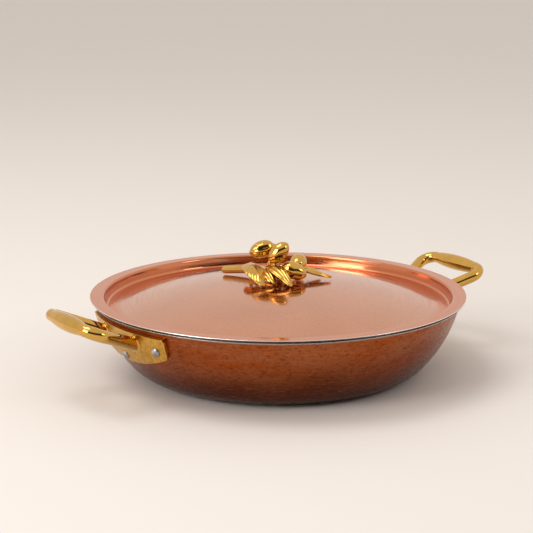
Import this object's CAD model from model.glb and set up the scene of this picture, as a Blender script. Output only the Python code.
from math import asin, atan, atan2, ceil, cos, hypot, pi, radians, sin, sqrt, tan

import bmesh
import bpy
from bpy.props import FloatProperty, FloatVectorProperty, PointerProperty
from mathutils import Matrix, Vector, noise


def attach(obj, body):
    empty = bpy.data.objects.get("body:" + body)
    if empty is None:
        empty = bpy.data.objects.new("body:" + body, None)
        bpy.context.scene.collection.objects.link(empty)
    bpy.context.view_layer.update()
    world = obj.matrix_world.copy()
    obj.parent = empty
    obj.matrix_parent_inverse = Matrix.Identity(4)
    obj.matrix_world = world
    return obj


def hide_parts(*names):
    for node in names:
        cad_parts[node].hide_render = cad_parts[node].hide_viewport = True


bl_info = {
    "name": "Covered Copper Pan",
    "version": (1, 0, 0),
    "blender": (4, 5, 0),
    "location": "View3D > Sidebar > Copper Pan",
    "description": "Dresses a covered copper pan with cast brass handles and an olive sprig knob",
    "category": "Object",
}

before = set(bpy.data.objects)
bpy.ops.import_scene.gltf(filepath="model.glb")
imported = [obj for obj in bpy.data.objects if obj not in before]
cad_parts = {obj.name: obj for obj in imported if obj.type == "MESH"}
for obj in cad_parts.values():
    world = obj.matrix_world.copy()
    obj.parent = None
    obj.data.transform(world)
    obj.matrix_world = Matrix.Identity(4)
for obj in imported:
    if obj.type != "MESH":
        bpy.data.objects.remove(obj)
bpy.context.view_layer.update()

MILLIMETRE = 0.001
UP = Vector((0, 0, 1))


def length(name, description, millimetres):
    """Give a length property whose default is written in millimetres."""
    size = millimetres * MILLIMETRE
    return FloatProperty(
        name=name, description=description, default=size, unit="LENGTH", precision=5
    )


def angle(name, description, degrees):
    """Give an angle property whose default is written in degrees."""
    turn = radians(degrees)
    return FloatProperty(
        name=name, description=description, default=turn, subtype="ANGLE", unit="ROTATION"
    )


def colour(name, description, tone):
    """Give a colour property."""
    return FloatVectorProperty(
        name=name, description=description, default=tone, subtype="COLOR", size=3, min=0, max=1
    )


class PanSizes(bpy.types.PropertyGroup):
    """The pan's wall, as a section from the centre of the base outwards."""

    base_radius: length("Base radius", "Radius of the flat base", 95.4)
    corner_radius: length("Corner radius", "Radius of the turn from the base to the side", 29.5)
    corner_turn: angle("Corner turn", "How far that turn goes", 47.1)
    side_radius: length("Side radius", "Radius of the curved side", 103.9)
    side_turn: angle("Side turn", "How far the side's curve turns", 29.57)
    flare_radius: length("Flare radius", "Radius of the turn from the side to the lip", 1.2)
    lip_land: length("Lip land", "Width of the level part of the lip", 0.2)
    lip_radius: length("Lip radius", "Radius of the lip's turned-down edge", 0.6)
    lip_turn: angle("Lip turn", "How far the edge turns down", 48)
    copper: length("Copper", "Thickness of the copper", 2.0)
    steel: length("Steel", "Thickness of the steel lining", 0.5)
    edge_round: length("Edge round", "Rounding of the lip's cut edges", 0.2)


class LidSizes(bpy.types.PropertyGroup):
    """The lid, measured on its upper face."""

    overhang: length("Overhang", "How far the lid reaches past the lip", 1.315)
    lining_setback: length("Lining set-back", "From the lid's edge in to its lining", 2.5)
    mouth_clearance: length("Mouth clearance", "Room between the lid's wall and the mouth", 1.97)
    recess_depth: length("Recess depth", "Depth of the channel under the flat rim", 8.7)
    recess_lean: angle("Recess lean", "Steepness of the wall between rim and channel", 80)
    rim_round: length("Rim round", "Radius between the flat rim and that wall", 1.8)
    foot_round: length("Foot round", "Radius at the foot of that wall", 2.4)
    dome_height: length("Dome height", "Rise of the dome over the channel", 18.4)
    channel_radius: length("Channel radius", "Radius of the channel's hollow", 56.5)
    copper: length("Copper", "Thickness of the copper", 0.8)
    steel: length("Steel", "Thickness of the steel lining", 0.6)
    screw_hole: length("Screw hole", "Radius of the hole under the knob", 2.8)
    edge_round: length("Edge round", "Rounding of the rim's cut edges", 0.28)


class HandleSizes(bpy.types.PropertyGroup):
    """A cast loop of round bar on a curved plate, and the rivets through the plate."""

    plate_thickness: length("Plate thickness", "Thickness of the mounting plate", 3.0)
    plate_half_width: length("Plate half width", "Half of the plate's width", 53.2)
    plate_end_draft: length("Plate end draft", "How far the ends lean in at their feet", 2.4)
    plate_top_gap: length("Plate top gap", "From the top of the side to the plate", 3.0)
    plate_end_height: length("Plate end height", "Height of the plate's straight ends", 15.6)
    plate_bow: length("Plate bow", "How far the lower edge bows down", 11)
    plate_corner_round: length("Plate corner round", "Rounding of the lower corners", 5.5)
    plate_shoulder_round: length("Plate shoulder round", "Rounding of the upper corners", 2.5)
    plate_edge_round: length("Plate edge round", "Width of the plate's polished edge", 0.8)
    arm_radius: length("Arm radius", "Radius of the arms", 4.6)
    grip_radius: length("Grip radius", "Radius of the grip at its middle", 6.3)
    grip_stand_off: length("Grip stand-off", "From the top of the side out to the grip", 40.42)
    grip_rise: length("Grip rise", "Height of the grip over the top of the side", 5.8)
    arm_overrun: length("Arm overrun", "How far the arms run on into the wall", 13.3)
    loop_tilt: angle("Loop tilt", "How far the loop slopes down to the pan", 22)
    loop_half_width: length("Loop half width", "Half of the loop's width at the grip", 38.5)
    root_half_width: length("Root half width", "Half of the arms' spread at their feet", 16.5)
    corner_radius: length("Corner radius", "Radius of the loop's corners", 10)
    grip_shoulder: length("Grip shoulder", "Straight bar between swell and corner", 1)
    root_fillet: length("Root fillet", "Cast fillet where an arm meets the plate", 1.9)
    rivet_shank: length("Rivet shank", "Radius of the rivets", 2.5)
    rivet_head: length("Rivet head", "Radius of their outer heads", 3.7)
    rivet_head_height: length("Rivet head height", "Height of their outer heads", 2.1)
    rivet_inner_head: length("Rivet inner head", "Radius of their inner heads", 3.6)
    rivet_inner_height: length("Rivet inner height", "Height of their inner heads", 1.2)
    rivet_end_margin: length("Rivet end margin", "From a side rivet to the plate's end", 11.7)
    rivet_lower_margin: length("Rivet lower margin", "From a rivet to the plate's lower edge", 5.7)


class SprigSizes(bpy.types.PropertyGroup):
    """The knob: a cut olive branch with five leaves and four olives."""

    turn: angle("Turn", "Turn of the sprig from the line of the handles", -34)
    branch_radius: length("Branch radius", "Radius of the branch", 3.1)
    branch_height: length("Branch height", "Height of the branch over the lid", 7.6)
    stalk_radius: length("Stalk radius", "Radius of the stalks", 1.4)
    foot_radius: length("Foot radius", "Radius of the knob's foot", 6.0)
    foot_thickness: length("Foot thickness", "Thickness of the knob's foot", 1.6)
    post_radius: length("Post radius", "Radius of the knob's post", 4.2)
    olive_length: length("Olive length", "Length of an olive", 20)
    olive_radius: length("Olive radius", "Greatest radius of an olive", 6.7)
    leaf_thickness: length("Leaf thickness", "Thickness of a leaf", 1.5)
    leaf_stalk: length("Leaf stalk", "Length of a leaf's stalk", 6.0)
    casting_grain: length("Casting grain", "Size of the cells that melt the branch together", 0.32)


class Finishes(bpy.types.PropertyGroup):
    """Colours of the metals and of the stage."""

    lid_copper: colour("Lid copper", "Bright brushed copper of the lid", (0.69, 0.355, 0.235))
    bright_edge: colour("Bright edge", "Polished corner of the lid's edge", (0.92, 0.87, 0.82))
    bare_copper: colour("Bare copper", "Raw copper under the lid's edge", (0.035, 0.018, 0.012))
    lip_copper: colour("Lip copper", "Polished cut edge of the pan's lip", (0.78, 0.46, 0.31))
    rim_copper: colour("Rim copper", "Deeper copper of the lid's flat rim", (0.66, 0.225, 0.1))
    body_copper: colour("Body copper", "Worn copper of the pan's upper side", (0.33, 0.098, 0.036))
    body_orange: colour("Body orange", "Streaks round the pan", (0.31, 0.062, 0.009))
    body_dark: colour("Body dark", "Heat-darkened copper near the base", (0.095, 0.016, 0.003))
    brass: colour("Brass", "Polished cast brass", (0.67, 0.395, 0.092))
    plate_brass: colour("Plate brass", "Satin brass of the mounting plates", (0.80, 0.47, 0.088))
    plate_dark: colour("Plate dark", "Darker brush lines on the plates", (0.44, 0.23, 0.037))
    brass_dark: colour("Brass dark", "Tarnish in the hollows of the brass", (0.07, 0.033, 0.007))
    steel: colour("Steel", "Stainless lining", (0.62, 0.61, 0.59))
    rivet: colour("Rivet", "Steel of rivets and screw", (0.52, 0.51, 0.50))
    floor: colour("Floor", "Plain pale floor", (0.80, 0.755, 0.71))


class StageSettings(bpy.types.PropertyGroup):
    """Lamps, world and camera."""

    key_power: FloatProperty(
        name="Key power", description="Power of the key lamp, in watts", default=12, unit="POWER"
    )
    world_light: FloatProperty(
        name="World light", description="Strength of the light all round", default=0.85
    )
    lens: FloatProperty(
        name="Lens", description="Focal length on a 36 mm sensor", default=102.38, unit="CAMERA"
    )


def follow(start, runs, longest=4 * MILLIMETRE, widest=radians(4)):
    """Follow straight runs and arcs from a start, heading outwards, and give the points.

    A run is a length with a turn of 0, or a radius with the angle that the arc turns.
    """
    points = [Vector(start)]
    heading = 0
    for size, turn in runs:
        if turn == 0:
            points.append(points[-1] + size * Vector((cos(heading), sin(heading))))
            continue
        count = max(2, ceil(abs(turn) / widest), ceil(abs(turn) * size / longest))
        side = 1 if turn > 0 else -1
        first = points[-1]
        centre = first + side * size * Vector((-sin(heading), cos(heading)))
        for step in range(1, count + 1):
            swung = Matrix.Rotation(turn * step / count, 2) @ (first - centre)
            points.append(centre + swung)
        heading += turn
    return points


class Wall:
    """Places on the pan and the lid, worked out from their sizes."""

    def __init__(self, scene):
        pan = scene.pan_sizes
        lid = scene.lid_sizes
        self.pan = pan
        self.lid = lid
        self.turn = pan.corner_turn + pan.side_turn
        self.thickness = pan.copper + pan.steel
        self.lid_thickness = lid.copper + lid.steel
        bend = pan.corner_radius - pan.side_radius
        self.centre_radius = pan.base_radius + bend * sin(pan.corner_turn)
        self.centre_height = pan.corner_radius - bend * cos(pan.corner_turn)
        self.top_radius = self.centre_radius + pan.side_radius * sin(self.turn)
        self.top = self.centre_height - pan.side_radius * cos(self.turn)
        mouth_radius = self.top_radius - self.thickness * sin(self.turn)
        self.lip_start = self.top_radius + pan.flare_radius * sin(self.turn) + pan.lip_land
        lip_tip = self.lip_start + (pan.lip_radius + self.thickness) * sin(pan.lip_turn)
        lip_top = self.top + pan.flare_radius * (1 - cos(self.turn)) + self.thickness
        self.lid_radius = lip_tip + lid.overhang
        self.flange_radius = mouth_radius - lid.mouth_clearance
        self.rim = lip_top + self.lid_thickness
        self.apex = self.rim - lid.recess_depth + lid.dome_height

    def radius_at(self, height, outward=0):
        """Give the radius of the side at a height, or of a surface that far outside it."""
        reach = self.pan.side_radius + outward
        return self.centre_radius + sqrt(reach**2 - (height - self.centre_height) ** 2)

    def pan_curve(self, inset):
        """Give the wall's curve, from the axis to the tip of the lip, at a depth."""
        pan = self.pan
        runs = [
            (pan.base_radius, 0),
            (pan.corner_radius - inset, pan.corner_turn),
            (pan.side_radius - inset, pan.side_turn),
            (pan.flare_radius + inset, -self.turn),
            (pan.lip_land, 0),
            (pan.lip_radius + inset, -pan.lip_turn),
        ]
        return follow((0, inset), runs)

    def lid_curve(self, inset, setback=0):
        """Give the lid's curve, from the screw hole to its edge or short of it, at a depth."""
        lid = self.lid
        lean = lid.recess_lean
        rounds = lid.rim_round + lid.foot_round
        straight = (lid.recess_depth - rounds * (1 - cos(lean))) / sin(lean)
        foot = self.flange_radius - rounds * sin(lean) - straight * cos(lean)
        dome_turn = 2 * atan(lid.dome_height / foot)
        dome_radius = foot / sin(dome_turn) - lid.channel_radius
        flange = self.lid_radius - self.flange_radius - setback
        runs = [
            (dome_radius - inset, -dome_turn),
            (lid.channel_radius + inset, dome_turn),
            (lid.foot_round + inset, lean),
            (straight, 0),
            (lid.rim_round - inset, -lean),
            (flange, 0),
        ]
        points = follow((0, self.apex - inset), runs)
        hole = lid.screw_hole
        drop = hole**2 / (2 * dome_radius)
        outside = [point for point in points if point.x > hole]
        return [Vector((hole, self.apex - inset - drop)), *outside]

    def lining_curve(self, inset):
        """Give the curve of the lid's lining, which stops short of the edge, at a depth."""
        return self.lid_curve(inset, self.lid.lining_setback)

    def rivet_frame(self, turn, height):
        """Give the frame of a rivet: its Z axis points straight out of the wall."""
        lean = asin((height - self.centre_height) / self.pan.side_radius)
        around = Vector((cos(turn), sin(turn), 0))
        outward = around * cos(lean) + UP * sin(lean)
        origin = around * self.radius_at(height) + UP * height
        return frame_at(origin, *beside(outward), outward)


def frame_at(origin, *axes):
    """Give the frame at a point with these three axes."""
    return Matrix.Translation(origin) @ Matrix(axes).transposed().to_4x4()


def beside(ahead):
    """Give the level direction and the upward direction across a heading."""
    level = UP.cross(ahead).normalized()
    return level, ahead.cross(level)


def select_only(*pieces):
    """Select these pieces alone, and make the first one active."""
    bpy.ops.object.select_all(action="DESELECT")
    for piece in pieces:
        piece.select_set(True)
    bpy.context.view_layer.objects.active = pieces[0]


def modify(piece, name, kind, **settings):
    """Add a modifier with these settings, and apply it."""
    modifier = piece.modifiers.new(name, kind)
    for setting, value in settings.items():
        setattr(modifier, setting, value)
    select_only(piece)
    bpy.ops.object.modifier_apply(modifier=modifier.name)


def name_piece(name):
    """Name the piece that was just added, and give it."""
    piece = bpy.context.object
    piece.name = name
    piece.data.name = name
    return piece


def joined(name, *pieces):
    """Join pieces into one with this name."""
    select_only(*pieces)
    bpy.ops.object.join()
    return name_piece(name)


def outline(name, points):
    """Add a closed ring of edges through these points."""
    bpy.ops.object.select_all(action="DESELECT")
    bpy.ops.mesh.primitive_circle_add(vertices=len(points))
    piece = name_piece(name)
    for vertex, point in zip(piece.data.vertices, points):
        vertex.co = point
    return piece


def open_mesh():
    """Edit the active piece, with all of it selected."""
    bpy.ops.object.mode_set(mode="EDIT")
    bpy.ops.mesh.select_all(action="SELECT")


def close_mesh():
    """Turn all faces outwards, and stop editing."""
    bpy.ops.mesh.select_all(action="SELECT")
    bpy.ops.mesh.normals_make_consistent(inside=False)
    bpy.ops.object.mode_set(mode="OBJECT")


def face_outwards():
    """Turn all faces of the active piece outwards."""
    open_mesh()
    close_mesh()


def turned(name, section, steps=224):
    """Turn a closed section, drawn as radius and height, about the Z axis."""
    piece = outline(name, [(point[0], 0, point[1]) for point in section])
    open_mesh()
    bpy.ops.mesh.spin(steps=steps, angle=2 * pi, center=(0, 0, 0), axis=(0, 0, 1))
    bpy.ops.mesh.select_all(action="SELECT")
    bpy.ops.mesh.remove_doubles(threshold=0.002 * MILLIMETRE)
    bpy.ops.mesh.delete_loose()
    close_mesh()
    return piece


def bevel(piece, name, width, segments, corner, **settings):
    """Bevel the edges of a piece that are sharper than a corner."""
    limit = {"limit_method": "ANGLE", "angle_limit": corner}
    modify(piece, name, "BEVEL", width=width, segments=segments, **limit, **settings)


def soften(piece, width):
    """Round the sharp edges of a piece, and shade it smooth."""
    bevel(piece, "edge_round", width, 3, radians(35))
    shade(piece)
    modify(piece, "flat_faces_even", "WEIGHTED_NORMAL", keep_sharp=True)


def shade(piece, corner=radians(50)):
    """Shade a piece smooth, except over its sharp edges."""
    select_only(piece)
    bpy.ops.object.shade_smooth_by_angle(angle=corner)


def deliver(piece, body, slot, nodes, *materials):
    """Give a finished piece its materials, its body, its slot and the nodes it stands for."""
    faces = [face.material_index for face in piece.data.polygons]
    piece.data.materials.clear()
    for material in materials:
        piece.data.materials.append(material)
    piece.data.polygons.foreach_set("material_index", faces)
    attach(piece, body)
    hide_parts(*nodes)


class Nodes:
    """The node tree of a material or a world."""

    def __init__(self, owner):
        owner.use_nodes = True
        self.tree = owner.node_tree
        self.tree.nodes.clear()

    def add(self, kind, settings=None, **inputs):
        """Add a node with these settings, and feed its inputs."""
        node = self.tree.nodes.new(kind)
        for setting, value in (settings or {}).items():
            setattr(node, setting, value)
        for socket, value in inputs.items():
            self.feed(node.inputs[socket], value)
        return node

    def feed(self, socket, value):
        """Link a socket to another, or set its value."""
        if isinstance(value, bpy.types.NodeSocket):
            self.tree.links.new(value, socket)
        else:
            socket.default_value = value

    def math(self, operation, first, second):
        """Give the result of a math node."""
        node = self.add("ShaderNodeMath", {"operation": operation})
        self.feed(node.inputs[0], first)
        self.feed(node.inputs[1], second)
        return node.outputs[0]

    def vector(self, operation, first, second=None):
        """Give a vector math node, fed with one or two vectors."""
        node = self.add("ShaderNodeVectorMath", {"operation": operation})
        self.feed(node.inputs[0], first)
        if second:
            self.feed(node.inputs[1], second)
        return node

    def spread(self, value, low, high, least=0, most=1):
        """Map a value smoothly from one range to another."""
        node = self.add("ShaderNodeMapRange", {"interpolation_type": "SMOOTHSTEP"}, Value=value)
        for socket, limit in zip(node.inputs[1:5], (low, high, least, most)):
            socket.default_value = limit
        return node.outputs[0]

    def blend(self, factor, first, second):
        """Mix two colours."""
        node = self.add("ShaderNodeMix", {"data_type": "RGBA"})
        self.feed(node.inputs[0], factor)
        for socket, tone in zip(node.inputs[6:8], (first, second)):
            self.feed(socket, tone if isinstance(tone, bpy.types.NodeSocket) else (*tone, 1))
        return node.outputs[2]


class Surface(Nodes):
    """A procedural material: a base colour laid on in coats, and a relief."""

    def __init__(self, name):
        self.material = bpy.data.materials.new(name)
        super().__init__(self.material)
        self.shader = self.add("ShaderNodeBsdfPrincipled")
        self.add("ShaderNodeOutputMaterial", Surface=self.shader.outputs[0])
        self.place = self.add("ShaderNodeTexCoord").outputs["Object"]
        self.base = None
        self.relief = {}

    def noise(self, vector, scale, detail=3.0, roughness=0.5):
        """Give a noise between 0 and 1."""
        inputs = {"Vector": vector, "Scale": scale, "Detail": detail, "Roughness": roughness}
        return self.add("ShaderNodeTexNoise", **inputs).outputs["Fac"]

    def stretched(self, *factors):
        """Give the object's coordinates, each stretched by its own factor."""
        return self.add("ShaderNodeMapping", Vector=self.place, Scale=factors).outputs[0]

    def split(self):
        """Give the object's coordinates one by one."""
        return self.add("ShaderNodeSeparateXYZ", Vector=self.place).outputs

    def radius(self):
        """Give the distance from the Z axis."""
        flat = self.vector("MULTIPLY", self.place, (1, 1, 0))
        return self.vector("LENGTH", flat.outputs[0]).outputs["Value"]

    def rings(self, around, across, use_height=False):
        """Give coordinates that change slowly round the Z axis and fast across it."""
        x, y, z = self.split()
        radius = self.radius()
        near = self.math("MAXIMUM", radius, MILLIMETRE)
        turn = [self.math("DIVIDE", side, near) for side in (x, y)]
        node = self.add(
            "ShaderNodeCombineXYZ",
            X=self.math("MULTIPLY", turn[0], around),
            Y=self.math("MULTIPLY", turn[1], around),
            Z=self.math("MULTIPLY", z if use_height else radius, across),
        )
        return node.outputs[0]

    def ground(self, pattern, low, high, first, second):
        """Start with two colours that a pattern mixes."""
        self.base = self.blend(self.spread(pattern, low, high), first, second)

    def coat(self, tone, *pattern):
        """Lay a colour over the base colour, as thick as a pattern in its ranges says."""
        self.base = self.blend(self.spread(*pattern), self.base, tone)

    def dent(self, height, distance, strength):
        """Lay a relief over the relief there is."""
        inputs = {"Height": height, "Distance": distance, "Strength": strength}
        node = self.add("ShaderNodeBump", **inputs, **self.relief)
        self.relief = {"Normal": node.outputs[0]}

    def total(self, *parts):
        """Add up two patterns, each mapped from one range to another."""
        return self.math("ADD", *(self.spread(*part) for part in parts))

    def circles(self):
        """Give the direction round the Z axis, in which metal is brushed."""
        settings = {"direction_type": "RADIAL", "axis": "Z"}
        return self.add("ShaderNodeTangent", settings).outputs[0]

    def finish(self, roughness, metallic=1.0, **more):
        """Feed the shader, and give the material."""
        inputs = {"Base Color": self.base, "Roughness": roughness, "Metallic": metallic}
        for socket, value in {**inputs, **self.relief, **more}.items():
            self.feed(self.shader.inputs[socket], value)
        return self.material


def scaled(tone, factor):
    """Give a colour made darker or brighter."""
    return tuple(channel * factor for channel in tone)


def brushed_lid_copper(finishes, wall):
    """Bright copper, polished and then brushed in circles, and left dark under its edge."""
    surface = Surface("brushed_lid_copper")
    copper = finishes.lid_copper
    fine = surface.noise(surface.rings(4, 3400), 1.0, 2.0)
    broad = surface.noise(surface.rings(2, 500), 1.0, 3.0)
    cloud = surface.noise(surface.place, 18, 4.0)
    speck = surface.noise(surface.place, 1100, 2.0)
    pits = surface.noise(surface.place, 800, 3.0, 0.6)
    surface.ground(cloud, 0.3, 0.7, scaled(copper, 0.96), scaled(copper, 1.03))
    surface.coat(scaled(copper, 0.7), pits, 0.5, 0.72, 0, 0.5)
    surface.coat(scaled(copper, 0.72), fine, 0.3, 0.75, 0, 0.09)

    radius = surface.radius()
    recess_edge, rim_edge = 121 * MILLIMETRE, 129 * MILLIMETRE
    surface.coat(finishes.rim_copper, radius, recess_edge, rim_edge, 0, 0.9)
    turn = wall.lid.edge_round
    edge = wall.lid_radius - 1.4 * turn, wall.lid_radius - 0.8 * turn
    surface.coat(finishes.bright_edge, radius, *edge)
    low = surface.spread(surface.split()[2], wall.rim - 1.6 * turn, wall.rim - turn, 1, 0)
    lining_edge = wall.lid_radius - wall.lid.lining_setback
    under = surface.math("MULTIPLY", low, surface.math("GREATER_THAN", radius, lining_edge))
    surface.base = surface.blend(under, surface.base, finishes.bare_copper)

    surface.dent(fine, 0.002 * MILLIMETRE, 0.4)
    surface.dent(speck, 0.003 * MILLIMETRE, 0.4)
    rough = surface.total((fine, 0.42, 0.7, 0.07, 0.2), (broad, 0.35, 0.7, 0, 0.05))
    return surface.finish(rough, Anisotropic=0.6, Tangent=surface.circles())


def worn_body_copper(finishes, wall):
    """Darker copper, browned near the base, streaked round the pan, with a bright cut lip."""
    surface = Surface("worn_body_copper")
    marks = surface.noise(surface.rings(16, 1300, True), 1.0, 4.0, 0.6)
    bands = surface.noise(surface.rings(3.2, 90, True), 1.0, 4.0, 0.6)
    mottle = surface.noise(surface.stretched(1, 1, 1.8), 260, 5.0, 0.65)
    patch = surface.noise(surface.place, 16, 3.0)
    warm = surface.spread(bands, 0.36, 0.62)
    warm = surface.math("MULTIPLY", warm, surface.spread(patch, 0.3, 0.62, 0.35, 1))
    surface.base = surface.blend(warm, finishes.body_copper, finishes.body_orange)

    waver = 7 * MILLIMETRE
    burnt, clean = 6 * MILLIMETRE, 38 * MILLIMETRE
    height = surface.split()[2]
    height = surface.math("ADD", height, surface.spread(patch, 0.2, 0.8, -waver, waver))
    surface.coat(finishes.body_dark, height, burnt, clean, 0.9, 0)
    surface.coat(finishes.body_dark, mottle, 0.46, 0.72, 0, 0.6)
    surface.coat(scaled(finishes.body_copper, 1.6), marks, 0.52, 0.74, 0, 0.5)
    lip = wall.lip_start + 0.5 * MILLIMETRE, wall.lip_start + MILLIMETRE
    surface.coat(finishes.lip_copper, surface.radius(), *lip)

    surface.dent(marks, 0.005 * MILLIMETRE, 0.5)
    surface.dent(mottle, 0.02 * MILLIMETRE, 0.25)
    rough = surface.total((mottle, 0.3, 0.7, 0.17, 0.3), (marks, 0.4, 0.7, 0, 0.08))
    return surface.finish(rough, Anisotropic=0.35, Tangent=surface.circles())


def brushed_steel(finishes):
    """Stainless steel, brushed in circles."""
    surface = Surface("brushed_lining")
    fine = surface.noise(surface.rings(6, 2200), 1.0, 3.0)
    cloud = surface.noise(surface.place, 30, 4.0)
    surface.ground(fine, 0.3, 0.7, scaled(finishes.steel, 0.88), scaled(finishes.steel, 1.08))
    surface.dent(fine, 0.006 * MILLIMETRE, 0.6)
    rough = surface.total((fine, 0.3, 0.7, 0.24, 0.32), (cloud, 0.35, 0.7, 0, 0.08))
    return surface.finish(rough, Anisotropic=0.4)


def polished_brass(finishes, name, low, high):
    """Cast brass, polished, with tarnish left in its hollows."""
    surface = Surface(name)
    hollow = surface.add("ShaderNodeNewGeometry").outputs["Pointiness"]
    cloud = surface.noise(surface.place, 90, 4.0)
    lump = surface.noise(surface.place, 240, 2.0)
    scratch = surface.noise(surface.stretched(1, 3, 3), 1500, 3.0)
    surface.ground(cloud, 0.3, 0.7, scaled(finishes.brass, 0.93), scaled(finishes.brass, 1.06))
    surface.coat(finishes.brass_dark, hollow, 0.41, 0.49, 0.95, 0)
    surface.dent(lump, 0.04 * MILLIMETRE, 0.3)
    surface.dent(scratch, 0.004 * MILLIMETRE, 0.5)
    rough = surface.total((cloud, 0.3, 0.7, low, high), (scratch, 0.45, 0.7, 0, 0.06))
    return surface.finish(rough)


def satin_brass(finishes):
    """Brass of the mounting plates, brushed up and down."""
    surface = Surface("plate_brass")
    lines = surface.noise(surface.stretched(18, 18, 0.7), 60, 4.0, 0.65)
    cloud = surface.noise(surface.place, 70, 4.0)
    surface.ground(lines, 0.3, 0.7, finishes.plate_dark, finishes.plate_brass)
    surface.coat(finishes.plate_dark, cloud, 0.4, 0.75, 0, 0.35)
    surface.dent(lines, 0.02 * MILLIMETRE, 0.6)
    return surface.finish(surface.spread(lines, 0.3, 0.7, 0.26, 0.4))


def scuffed_steel(finishes, name):
    """Steel of the rivets and the screw, hammered and a little dull."""
    surface = Surface(name)
    dents = surface.noise(surface.place, 520, 3.0)
    cloud = surface.noise(surface.place, 160, 3.0)
    surface.ground(cloud, 0.35, 0.65, scaled(finishes.rivet, 0.6), scaled(finishes.rivet, 1.15))
    surface.dent(dents, 0.1 * MILLIMETRE, 0.55)
    return surface.finish(surface.spread(dents, 0.3, 0.7, 0.22, 0.4))


def pale_floor(finishes):
    """The plain pale floor."""
    surface = Surface("pale_floor")
    grain = surface.noise(surface.place, 3, 4.0)
    surface.base = surface.blend(grain, scaled(finishes.floor, 0.985), finishes.floor)
    return surface.finish(0.9, metallic=0.0)


def turn_layer(name, curve, depths, edge_round, *delivery):
    """Turn the layer of sheet between two depths of a curve, and deliver it."""
    upper, lower = depths
    piece = turned(name, curve(upper) + curve(lower)[::-1])
    soften(piece, edge_round)
    deliver(piece, *delivery)


class PAN_OT_pan_body(bpy.types.Operator):
    """Turn the copper body and its steel lining"""

    bl_idname = "pan.pan_body"
    bl_label = "Pan body"

    def execute(self, context):
        wall = Wall(context.scene)
        finishes = context.scene.finishes
        rounding = wall.pan.edge_round
        depths = (0, wall.pan.copper)
        body = ("pan", "body_copper", ["pan_copper_shell"], worn_body_copper(finishes, wall))
        turn_layer("body_copper", wall.pan_curve, depths, rounding, *body)
        depths = (wall.pan.copper, wall.thickness)
        lining = ("pan", "lining_steel", ["pan_steel_lining"], brushed_steel(finishes))
        turn_layer("body_lining", wall.pan_curve, depths, rounding, *lining)
        return {"FINISHED"}


class PAN_OT_lid(bpy.types.Operator):
    """Turn the lid's copper skin and its steel lining"""

    bl_idname = "pan.lid"
    bl_label = "Lid"

    def execute(self, context):
        wall = Wall(context.scene)
        rounding = wall.lid.edge_round
        depths = (0, wall.lid.copper)
        copper = brushed_lid_copper(context.scene.finishes, wall)
        skin = ("lid", "lid_copper", ["lid_copper_skin"], copper)
        turn_layer("lid_copper", wall.lid_curve, depths, rounding, *skin)
        depths = (wall.lid.copper, wall.lid_thickness)
        steel = bpy.data.materials["brushed_lining"]
        lining = ("lid", "lining_steel", ["lid_steel_lining"], steel)
        turn_layer("lid_lining", wall.lining_curve, depths, rounding, *lining)
        return {"FINISHED"}


def extrude_ring(place):
    """Extrude the selected ring, and put each of its points where place says."""
    bpy.ops.mesh.extrude_edges_move()
    mesh = bpy.context.object.data
    shape = bmesh.from_edit_mesh(mesh)
    for vertex in shape.verts:
        if vertex.select:
            vertex.co = place(vertex.co)
    bmesh.update_edit_mesh(mesh)


class Loop:
    """The loop of one handle: its plane, and the stations along half of it."""

    def __init__(self, wall, sizes):
        self.wall = wall
        self.sizes = sizes
        tilt = sizes.loop_tilt
        self.across = Vector((0, 1, 0))
        self.along = Vector((-cos(tilt), 0, -sin(tilt)))
        self.up = Vector((-sin(tilt), 0, cos(tilt)))
        reach = wall.top_radius + sizes.grip_stand_off
        self.origin = Vector((reach, 0, wall.top + sizes.grip_rise))
        self.depth = (sizes.grip_stand_off + sizes.arm_overrun) / cos(tilt)
        self.swing = pi / 2 + atan((sizes.loop_half_width - sizes.root_half_width) / self.depth)
        self.grip_end = sizes.loop_half_width - sizes.corner_radius * tan(self.swing / 2)

    def station(self, across, along, heading, radius):
        """Give the frame of a ring on the loop, as large as its bar."""
        ahead = self.across * cos(heading) + self.along * sin(heading)
        aside = self.along * cos(heading) - self.across * sin(heading)
        origin = self.origin + self.across * across + self.along * along
        return frame_at(origin, aside, self.up, ahead) @ Matrix.Scale(radius, 4)

    def stations(self, grip_steps=16, corner_steps=20):
        """Give the stations from the middle of the grip, round the corner, to the arm."""
        sizes = self.sizes
        swell_end = self.grip_end - sizes.grip_shoulder
        rise = sizes.grip_radius - sizes.arm_radius
        swell_radius = (swell_end**2 + rise**2) / (2 * rise)
        for step in range(grip_steps + 1):
            across = swell_end * step / grip_steps
            sag = swell_radius - sqrt(swell_radius**2 - across**2)
            yield self.station(across, 0, 0, sizes.grip_radius - sag)
        for step in range(corner_steps + 1):
            heading = self.swing * step / corner_steps
            across = self.grip_end + sizes.corner_radius * sin(heading)
            along = sizes.corner_radius * (1 - cos(heading))
            yield self.station(across, along, heading, sizes.arm_radius)

    def reach_plate(self, origin, direction):
        """Give how far a line runs before it meets the outside of the plate."""
        near, far = 0, self.depth
        halvings = 40
        for _ in range(halvings):
            middle = (near + far) / 2
            point = origin + direction * middle
            surface = self.wall.radius_at(point.z, self.sizes.plate_thickness)
            if hypot(point.x, point.y) > surface:
                near = middle
            else:
                far = middle
        return near


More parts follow.
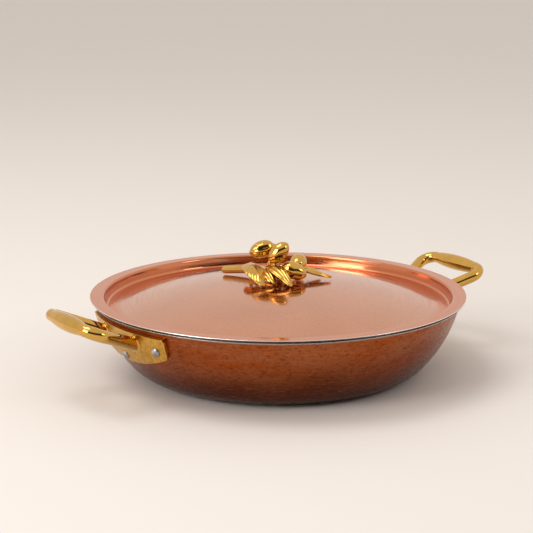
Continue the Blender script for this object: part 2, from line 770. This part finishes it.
def model_loop(loop):
    """Model the loop of a handle: half of it as a grown ring, and the rest mirrored."""
    sizes = loop.sizes
    stations = list(loop.stations())
    ring_points = 40
    turns = span(0, 2 * pi, ring_points)[:-1]
    ring = [stations[0] @ Vector((cos(turn), sin(turn), 0)) for turn in turns]
    piece = outline("handle_loop", ring)
    open_mesh()
    for before, after in zip(stations, stations[1:]):
        step = after @ before.inverted()
        extrude_ring(lambda point: step @ point)

    last = stations[-1]
    centre = last.to_translation()
    ahead = last.col[2].xyz.normalized()
    aside = last.col[0].xyz.normalized()
    radius = sizes.arm_radius
    fillet = sizes.root_fillet
    sink = 0.05 * MILLIMETRE

    def on_arm(point, share):
        """Put a point of the ring on the arm, or on the fillet past its end."""
        offset = point - centre
        outward = offset - ahead * offset.dot(ahead)
        outward.normalize()
        meet = loop.reach_plate(centre + outward * radius, ahead)
        wide = loop.reach_plate(centre + outward * (radius + fillet), ahead)
        start = meet - fillet
        if share <= 0:
            return centre + outward * radius + ahead * start * (1 + share)
        keep = 1 - share
        run = keep**2 * start + 2 * keep * share * meet + share**2 * (wide + sink)
        width = radius + share**2 * fillet
        return centre + outward * width + ahead * run

    arm_steps = 10
    fillet_steps = 8
    for step in range(1, arm_steps + 1):
        extrude_ring(lambda point: on_arm(point, step / arm_steps - 1))
    for step in range(1, fillet_steps + 1):
        extrude_ring(lambda point: on_arm(point, step / fillet_steps))
    extrude_ring(lambda point: point + ahead * sizes.plate_thickness / 3)
    bpy.ops.mesh.edge_face_add()
    bpy.ops.object.mode_set(mode="OBJECT")
    merge = {"use_mirror_merge": True, "merge_threshold": 0.01 * MILLIMETRE}
    modify(piece, "other_half", "MIRROR", use_axis=(False, True, False), **merge)
    face_outwards()
    return piece


def rounded_corner(corner, before, after, radius, steps=7):
    """Give the points of a round corner between two neighbours."""
    to_before = (before - corner).normalized()
    to_after = (after - corner).normalized()
    half = to_before.angle(to_after) / 2
    setback = radius / tan(half)
    centre = corner + (to_before + to_after).normalized() * radius / sin(half)
    first = corner + to_before * setback - centre
    last = corner + to_after * setback - centre
    turn = first.angle_signed(last)
    return [centre + Matrix.Rotation(-turn * step / steps, 2) @ first for step in range(steps + 1)]


def model_plate(wall, sizes, polished, satin):
    """Model the curved plate: an outline, cut into a grid, laid on the side and thickened.

    Its rounded edges are polished, and the rest is satin.
    """
    half = sizes.plate_half_width
    foot = half - sizes.plate_end_draft
    top = wall.top - sizes.plate_top_gap
    corner = top - sizes.plate_end_height
    bow = sizes.plate_bow
    bow_radius = (foot**2 + bow**2) / (2 * bow)

    def lower_edge(across):
        """Give the height of the bowed lower edge."""
        return corner - bow + bow_radius - sqrt(bow_radius**2 - across**2)

    side_steps = 24
    lower = [Vector((x, lower_edge(x))) for x in span(-foot, foot, side_steps)]
    top_left = Vector((-half, top))
    top_right = Vector((half, top))
    clear = 1.35 * sizes.plate_corner_round
    points = rounded_corner(top_right, top_left, lower[-1], sizes.plate_shoulder_round)
    points += rounded_corner(lower[-1], top_right, lower[-2], sizes.plate_corner_round)
    points += [point for point in lower[::-1] if abs(point.x) < foot - clear]
    points += rounded_corner(lower[0], lower[1], top_left, sizes.plate_corner_round)
    points += rounded_corner(top_left, lower[0], top_right, sizes.plate_shoulder_round)
    piece = outline("handle_plate", [(0, point.x, point.y) for point in points])
    open_mesh()
    bpy.ops.mesh.edge_face_add()
    cell = 2.5 * MILLIMETRE
    for axis, low, high in ((1, -half, half), (2, corner - bow, top)):
        for place in span(low, high, round((high - low) / cell))[1:-1]:
            bpy.ops.mesh.select_all(action="SELECT")
            normal = Vector((0, 0, 0))
            normal[axis] = 1
            bpy.ops.mesh.bisect(plane_co=normal * place, plane_no=normal)
    bpy.ops.mesh.select_all(action="SELECT")
    bpy.ops.mesh.remove_doubles(threshold=0.25 * MILLIMETRE)
    bpy.ops.object.mode_set(mode="OBJECT")
    for vertex in piece.data.vertices:
        reach = wall.radius_at(vertex.co.z, sizes.plate_thickness)
        vertex.co.x = sqrt(reach**2 - vertex.co.y**2)
    face_outwards()
    if piece.data.polygons[0].normal.x < 0:
        piece.data.flip_normals()
    inwards = {"thickness": sizes.plate_thickness, "offset": -1, "use_even_offset": True}
    modify(piece, "thickness", "SOLIDIFY", **inwards)
    for material in (polished, satin):
        piece.data.materials.append(material)
    for face in piece.data.polygons:
        face.material_index = 1
    bevel(piece, "polished_edge", sizes.plate_edge_round, 4, radians(45), material=0)
    return piece


def span(low, high, steps):
    """Give evenly spaced values from low to high."""
    return [low + (high - low) * step / steps for step in range(steps + 1)]


class PAN_OT_handles(bpy.types.Operator):
    """Model one cast handle, and mirror it to the other side"""

    bl_idname = "pan.handles"
    bl_label = "Handles"

    def execute(self, context):
        wall = Wall(context.scene)
        sizes = context.scene.handle_sizes
        finishes = context.scene.finishes
        polished = polished_brass(finishes, "cast_handle_brass", 0.06, 0.12)
        satin = satin_brass(finishes)
        plate = model_plate(wall, sizes, polished, satin)
        loop = model_loop(Loop(wall, sizes))
        loop.data.materials.append(polished)
        right = joined("handle_right", plate, loop)
        shade(right, radians(35))
        left = right.copy()
        left.data = right.data.copy()
        left.name = "handle_left"
        left.data.name = "handle_left"
        context.collection.objects.link(left)
        left.data.transform(Matrix.Scale(-1, 4, (1, 0, 0)))
        left.data.flip_normals()
        for piece, side in ((right, "right"), (left, "left")):
            modify(piece, "flat_faces_even", "WEIGHTED_NORMAL", keep_sharp=True)
            deliver(piece, "pan", "handle_brass", [f"{side}_handle"], polished, satin)
        return {"FINISHED"}


class PAN_OT_rivets(bpy.types.Operator):
    """Turn one rivet, and set three of them in each plate"""

    bl_idname = "pan.rivets"
    bl_label = "Rivets"

    def execute(self, context):
        wall = Wall(context.scene)
        sizes = context.scene.handle_sizes
        corner = wall.top - sizes.plate_top_gap - sizes.plate_end_height
        side_height = corner + sizes.rivet_lower_margin
        middle_height = side_height - sizes.plate_bow
        aside = sizes.plate_half_width - sizes.rivet_end_margin
        spread = asin(aside / wall.radius_at(side_height))
        seats = ((-spread, side_height), (spread, side_height), (0, middle_height))
        steel = scuffed_steel(context.scene.finishes, "hammered_rivet_steel")
        for side, facing in (("right", 0), ("left", pi)):
            rivets = []
            for turn, height in seats:
                rivet = self.turn_rivet(wall, sizes)
                rivet.data.transform(wall.rivet_frame(facing + turn, height))
                rivets.append(rivet)
            piece = joined(f"rivets_{side}", *rivets)
            shade(piece)
            deliver(piece, "pan", "rivet_steel", [f"{side}_handle_rivets"], steel)
        return {"FINISHED"}

    def turn_rivet(self, wall, sizes):
        """Turn one rivet upright: its outer head, its shank and its inner head."""
        sag = sizes.rivet_inner_head**2 / (wall.pan.side_radius - wall.thickness)
        outer = sizes.plate_thickness
        inner = -wall.thickness - sag
        section = dome(sizes.rivet_head, sizes.rivet_head_height, outer)
        section += [(sizes.rivet_shank, outer), (sizes.rivet_shank, inner)]
        section += dome(sizes.rivet_inner_head, -sizes.rivet_inner_height, inner)[::-1]
        return turned("rivet", section, 40)


def dome(radius, height, base, steps=12):
    """Give the section of a round head, from its crown down to its rim."""
    return [(radius * sin(turn), base + height * cos(turn)) for turn in span(0, pi / 2, steps)]


def route(context, *points):
    """Give a route on the lid from points across, behind and above its apex."""
    turn = Matrix.Rotation(context.scene.sprig_sizes.turn, 4, "Z")
    place = Matrix.Translation(UP * Wall(context.scene).apex) @ turn
    return [place @ (Vector(point) * MILLIMETRE) for point in points]


# Points of the sprig, in millimetres across, behind and above the lid's apex. Each point of the
# branch has its share of the branch's radius, and each leaf starts with its width.
BRANCH = {
    (-43.5, 32.0, 0.4): 1,
    (-24.0, 15.5, 4.4): 1,
    (-7.0, 3.0, 7.6): 1.1,
    (6.0, 0.0, 7.6): 1,
    (18.0, 3.4, 7.2): 0.8,
}
OLIVES = {
    "top_left": ((-3.0, 2.0, 7.6), (0.4, 6.8, 27.2), (-3.6, 6.4, 25.9)),
    "top_right": ((-7.0, 3.0, 7.6), (-8.6, -3.6, 12.2), (-5.9, -3.8, 15.2)),
    "right_back": ((14.6, 2.4, 7.4), (15.1, 7.0, 8.2)),
    "right_front": ((2.0, 0.5, 7.6), (0.4, -7.0, 13.8), (3.8, -7.4, 12.4)),
}
LEAVES = {
    "front_left": (16.0, (-22.0, 9.0, 8.4), (-20.0, -13.0, 12.6), (-11.8, -27.5, 0.6)),
    "front_middle": (12.5, (-12.0, 1.6, 7.6), (-9.0, -12.0, 7.6), (-2.7, -20.5, 0.7)),
    "front_right": (13.0, (-4.8, -3.6, 9.8), (0.4, -13.0, 11.4), (9.9, -27.5, 0.6)),
    "right_long": (8.0, (21.0, 1.4, 6.4), (30.0, 3.0, 3.0), (42.0, 6.0, 0.5)),
    "right_short": (6.5, (20.0, 6.2, 7.2), (27.0, 11.0, 5.2), (34.0, 15.0, 1.0)),
}


def tube(name, points, radii):
    """Draw a smooth round tube through a route, as a mesh."""
    curve = bpy.data.curves.new(name, "CURVE")
    curve.dimensions = "3D"
    curve.bevel_depth = 1.0
    curve.bevel_resolution = 8
    curve.resolution_u = 10
    curve.use_fill_caps = True
    spline = curve.splines.new("NURBS")
    spline.points.add(len(points) - 1)
    for knot, point, radius in zip(spline.points, points, radii):
        knot.co = (*point, 1)
        knot.radius = radius
    spline.order_u = min(4, len(points))
    spline.use_endpoint_u = True
    piece = bpy.data.objects.new(name, curve)
    bpy.context.collection.objects.link(piece)
    select_only(piece)
    bpy.ops.object.convert(target="MESH")
    return bpy.context.object


class PAN_OT_branch(bpy.types.Operator):
    """Model the cut branch with its stalks, its post and its foot"""

    bl_idname = "pan.branch"
    bl_label = "Branch"

    def execute(self, context):
        sizes = context.scene.sprig_sizes
        stalk = sizes.stalk_radius
        radii = [sizes.branch_radius * share for share in BRANCH.values()]
        parts = [tube("branch", route(context, *BRANCH), radii)]
        for name, points in OLIVES.items():
            line = route(context, *points)
            parts.append(tube(name, line, [stalk * 1.3] + [stalk] * (len(line) - 1)))
        for name, (_, *points) in LEAVES.items():
            base, control, _ = route(context, *points)
            back = base + (base - control).normalized() * sizes.leaf_stalk
            parts.append(tube(name, [back, base], [stalk, stalk]))
        parts.append(self.turn_post(context, sizes))
        piece = joined("sprig_branch", *parts)
        modify(piece, "melt", "REMESH", mode="VOXEL", voxel_size=sizes.casting_grain)
        modify(piece, "settle", "SMOOTH", factor=0.5, iterations=9)
        shade(piece, pi)
        material = polished_brass(context.scene.finishes, "cast_sprig_brass", 0.06, 0.13)
        deliver(piece, "lid", "sprig_brass", ["finial_branch"], material)
        return {"FINISHED"}

    def turn_post(self, context, sizes):
        """Turn the knob's post with its foot."""
        apex = Wall(context.scene).apex
        foot = apex + sizes.foot_thickness
        top = apex + sizes.branch_height
        section = [(0, apex), (sizes.foot_radius, apex), (sizes.foot_radius, foot)]
        section += [(sizes.post_radius, foot), (sizes.post_radius, top), (0, top)]
        return turned("post", section, 48)


def bezier(points, share):
    """Give the point and the direction at a share of a curve through three points."""
    first, control, last = points
    point = first * (1 - share) ** 2 + control * 2 * share * (1 - share) + last * share**2
    ahead = (control - first) * (1 - share) + (last - control) * share
    return point, ahead.normalized()


class PAN_OT_leaves(bpy.types.Operator):
    """Model the leaves, with their midribs and veins"""

    bl_idname = "pan.leaves"
    bl_label = "Leaves"

    ARCH = 0.34
    RIB_HEIGHT = 0.6 * MILLIMETRE
    RIB_HALF_WIDTH = 0.09
    VEINS = 8
    VEIN_SLANT = 2.2
    VEIN_HEIGHT = 0.26 * MILLIMETRE
    FOLDS = 2
    FOLD_HEIGHT = 0.55 * MILLIMETRE

    def execute(self, context):
        thickness = context.scene.sprig_sizes.leaf_thickness
        for name, (width, *points) in LEAVES.items():
            spine = route(context, *points)
            veined = name == "front_left"
            half = width / 2 * MILLIMETRE
            piece = self.model_leaf(f"sprig_leaf_{name}", spine, half, veined)
            modify(piece, "thickness", "SOLIDIFY", thickness=thickness, offset=0)
            modify(piece, "rounded", "SUBSURF", levels=1, render_levels=1)
            face_outwards()
            shade(piece, pi)
            material = bpy.data.materials["cast_sprig_brass"]
            deliver(piece, "lid", "sprig_brass", [f"finial_leaf_{name}"], material)
        return {"FINISHED"}

    def model_leaf(self, name, spine, half_width, veined):
        """Shape a grid into a leaf along its spine, with side veins or else with folds."""
        bpy.ops.object.select_all(action="DESELECT")
        bpy.ops.mesh.primitive_grid_add(x_subdivisions=56, y_subdivisions=36, size=2)
        piece = name_piece(name)
        for vertex in piece.data.vertices:
            share = (vertex.co.x + 1) / 2
            side = vertex.co.y
            point, ahead = bezier(spine, share)
            level, up = beside(ahead)
            half = half_width * self.fullness(share)
            rise = self.ARCH * half * (1 - side**2)
            rib = self.RIB_HEIGHT * (1 - share * 0.6) / (1 + (side / self.RIB_HALF_WIDTH) ** 2)
            fade = sin(pi * share) ** 0.5
            if veined:
                wave = sin(2 * pi * (self.VEINS * share - self.VEIN_SLANT * abs(side)))
                relief = self.VEIN_HEIGHT * wave * fade * min(1, 3 * abs(side))
            else:
                wave = cos(2 * pi * self.FOLDS * side)
                relief = -self.FOLD_HEIGHT * wave * fade * (1 - side**4)
            vertex.co = point + level * half * side + up * (rise + rib + relief)
        return piece

    def fullness(self, share):
        """Give the leaf's width at a share of its length, as a share of its greatest width."""
        base = 0.3 * (1 - share) ** 2
        return base + (1 - base) * sin(pi * (0.06 + share * 0.92) ** 0.8) ** 0.7


class PAN_OT_olives(bpy.types.Operator):
    """Model the four olives"""

    bl_idname = "pan.olives"
    bl_label = "Olives"

    LUMP_HEIGHT = 0.035
    LUMPS = 1.9
    RIDGE_HEIGHT = 0.03
    RIDGES = 9
    TIP_HEIGHT = 0.35 * MILLIMETRE
    TIP_START = 0.93
    TAPER = 0.04
    SEAT = 0.5 * MILLIMETRE

    def execute(self, context):
        sizes = context.scene.sprig_sizes
        for name, points in OLIVES.items():
            *_, before, last = route(context, *points)
            ahead = (last - before).normalized()
            piece = self.model_olive(f"sprig_olive_{name}", sizes)
            piece.data.transform(frame_at(last, *beside(ahead), ahead))
            material = bpy.data.materials["cast_sprig_brass"]
            deliver(piece, "lid", "sprig_brass", [f"finial_olive_{name}"], material)
        return {"FINISHED"}

    def model_olive(self, name, sizes):
        """Shape a ball into an olive that stands on the origin."""
        bpy.ops.object.select_all(action="DESELECT")
        bpy.ops.mesh.primitive_uv_sphere_add(segments=64, ring_count=40, radius=1)
        piece = name_piece(name)
        half = sizes.olive_length / 2
        seed = Vector((len(name), 0, 0))
        for vertex in piece.data.vertices:
            x, y, z = vertex.co
            lump = 1 + self.LUMP_HEIGHT * noise.noise(vertex.co * self.LUMPS + seed)
            if "top_left" in name:
                lump += self.RIDGE_HEIGHT * cos(self.RIDGES * atan2(y, x)) * (1 - z * z)
            tip = self.TIP_HEIGHT * max(0, (z - self.TIP_START) / (1 - self.TIP_START))
            width = sizes.olive_radius * lump * (1 - self.TAPER * z)
            vertex.co = (x * width, y * width, half * z + half - self.SEAT + tip)
        shade(piece, pi)
        return piece


class PAN_OT_screw(bpy.types.Operator):
    """Finish the screw and the washer under the lid"""

    bl_idname = "pan.screw"
    bl_label = "Screw and washer"

    def execute(self, context):
        steel = scuffed_steel(context.scene.finishes, "turned_screw_steel")
        for node in ("finial_screw", "finial_washer"):
            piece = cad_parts[node]
            piece.data.materials.clear()
            piece.data.materials.append(steel)
        return {"FINISHED"}


CAMERA_PLACE = Vector((-647.22, -959.54, 340.56)) * MILLIMETRE
CAMERA_TARGET = Vector((-5.084, 8.719, 79.983)) * MILLIMETRE
CAMERA_SIDE = Vector((-0.56, -0.83, 0))
LAMP_TARGET = Vector((0, 0, 0.04))
FLOOR_RADIUS = 14
CLIP_END = 60
# Each lamp's place in metres (left of the pan, nearer to the camera, up), size and share of power.
LAMPS = {
    "lamp_left": ((1.3, 1.0, 0.75), 0.8, 1),
    "lamp_top": ((0.75, 0, 1.8), 0.9, 0.8),
    "lamp_right": ((-1.7, 0.7, 1.1), 0.5, 0.35),
}
WORLD_BRIGHT = (1.0, 0.93, 0.87)
WORLD_DARK = (0.05, 0.037, 0.03)
DARK_SIDE = Matrix.Rotation(radians(14), 3, "Z") @ CAMERA_SIDE
DARK_WIDTH = (0.4, 0.62)
DARK_FOOT = (0.1, 0.2)
DARK_TOP = (0.5, 0.75, 1, 0)


def aim(piece, target):
    """Turn a lamp or a camera to face a point."""
    piece.rotation_euler = (target - piece.location).to_track_quat("-Z", "Y").to_euler()


class PAN_OT_stage(bpy.types.Operator):
    """Set out the floor, the lamps, the world and the camera"""

    bl_idname = "pan.stage"
    bl_label = "Stage"

    def execute(self, context):
        scene = context.scene
        settings = scene.stage_settings
        bpy.ops.object.select_all(action="DESELECT")
        bpy.ops.mesh.primitive_circle_add(vertices=96, radius=FLOOR_RADIUS, fill_type="NGON")
        floor = name_piece("floor")
        floor.data.materials.append(pale_floor(scene.finishes))
        nearer = CAMERA_SIDE.normalized()
        left = Vector((nearer.y, -nearer.x, 0))
        axes = frame_at((0, 0, 0), left, nearer, UP)
        for name, (place, size, share) in LAMPS.items():
            self.add_lamp(name, axes @ Vector(place), size, settings.key_power * share)
        self.light_world(scene, settings.world_light)
        self.add_camera(scene, settings.lens)
        scene.view_settings.view_transform = "Standard"
        return {"FINISHED"}

    def add_lamp(self, name, place, size, power):
        """Hang a square lamp that faces the pan."""
        bpy.ops.object.light_add(type="AREA", location=place)
        lamp = name_piece(name)
        lamp.data.shape = "SQUARE"
        lamp.data.size = size
        lamp.data.energy = power
        aim(lamp, LAMP_TARGET)

    def light_world(self, scene, strength):
        """Light the world evenly, but for a dark part on the camera's side."""
        scene.world = bpy.data.worlds.new("studio")
        nodes = Nodes(scene.world)
        where = nodes.add("ShaderNodeTexCoord").outputs["Generated"]
        side = nodes.vector("DOT_PRODUCT", where, DARK_SIDE).outputs["Value"]
        height = nodes.add("ShaderNodeSeparateXYZ", Vector=where).outputs[2]
        dark = nodes.spread(side, *DARK_WIDTH)
        for limits in (DARK_FOOT, DARK_TOP):
            dark = nodes.math("MULTIPLY", dark, nodes.spread(height, *limits))
        tone = nodes.blend(dark, WORLD_BRIGHT, WORLD_DARK)
        light = nodes.add("ShaderNodeBackground", Color=tone, Strength=strength)
        nodes.add("ShaderNodeOutputWorld", Surface=light.outputs[0])

    def add_camera(self, scene, lens):
        """Stand the camera where the photograph was taken."""
        bpy.ops.object.camera_add(location=CAMERA_PLACE)
        camera = name_piece("camera")
        camera.data.sensor_width = 36
        camera.data.lens = lens
        camera.data.clip_end = CLIP_END
        aim(camera, CAMERA_TARGET)
        scene.camera = camera


STEPS = (
    PAN_OT_stage,
    PAN_OT_pan_body,
    PAN_OT_lid,
    PAN_OT_handles,
    PAN_OT_rivets,
    PAN_OT_branch,
    PAN_OT_leaves,
    PAN_OT_olives,
    PAN_OT_screw,
)
GROUPS = {
    "pan_sizes": PanSizes,
    "lid_sizes": LidSizes,
    "handle_sizes": HandleSizes,
    "sprig_sizes": SprigSizes,
    "finishes": Finishes,
    "stage_settings": StageSettings,
}


class PAN_PT_panel(bpy.types.Panel):
    """Lists the steps that build the pan"""

    bl_idname = "PAN_PT_panel"
    bl_label = "Copper Pan"
    bl_space_type = "VIEW_3D"
    bl_region_type = "UI"
    bl_category = "Copper Pan"

    def draw(self, context):
        for step in STEPS:
            self.layout.operator(step.bl_idname)
        for name in GROUPS:
            box = self.layout.box()
            box.label(text=name.replace("_", " ").capitalize())
            group = getattr(context.scene, name)
            for size in group.bl_rna.properties.keys()[2:]:
                box.prop(group, size)


def register():
    """Register the classes, and give the scene its sizes."""
    for name, group in GROUPS.items():
        bpy.utils.register_class(group)
        setattr(bpy.types.Scene, name, PointerProperty(type=group))
    for step in STEPS:
        bpy.utils.register_class(step)
    bpy.utils.register_class(PAN_PT_panel)


def unregister():
    """Undo what register does."""
    bpy.utils.unregister_class(PAN_PT_panel)
    for step in reversed(STEPS):
        bpy.utils.unregister_class(step)
    for name, group in GROUPS.items():
        delattr(bpy.types.Scene, name)
        bpy.utils.unregister_class(group)


def main():
    """Register everything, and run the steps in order."""
    register()
    for step in STEPS:
        group, name = step.bl_idname.split(".")
        getattr(getattr(bpy.ops, group), name)()


if __name__ == "__main__":
    main()
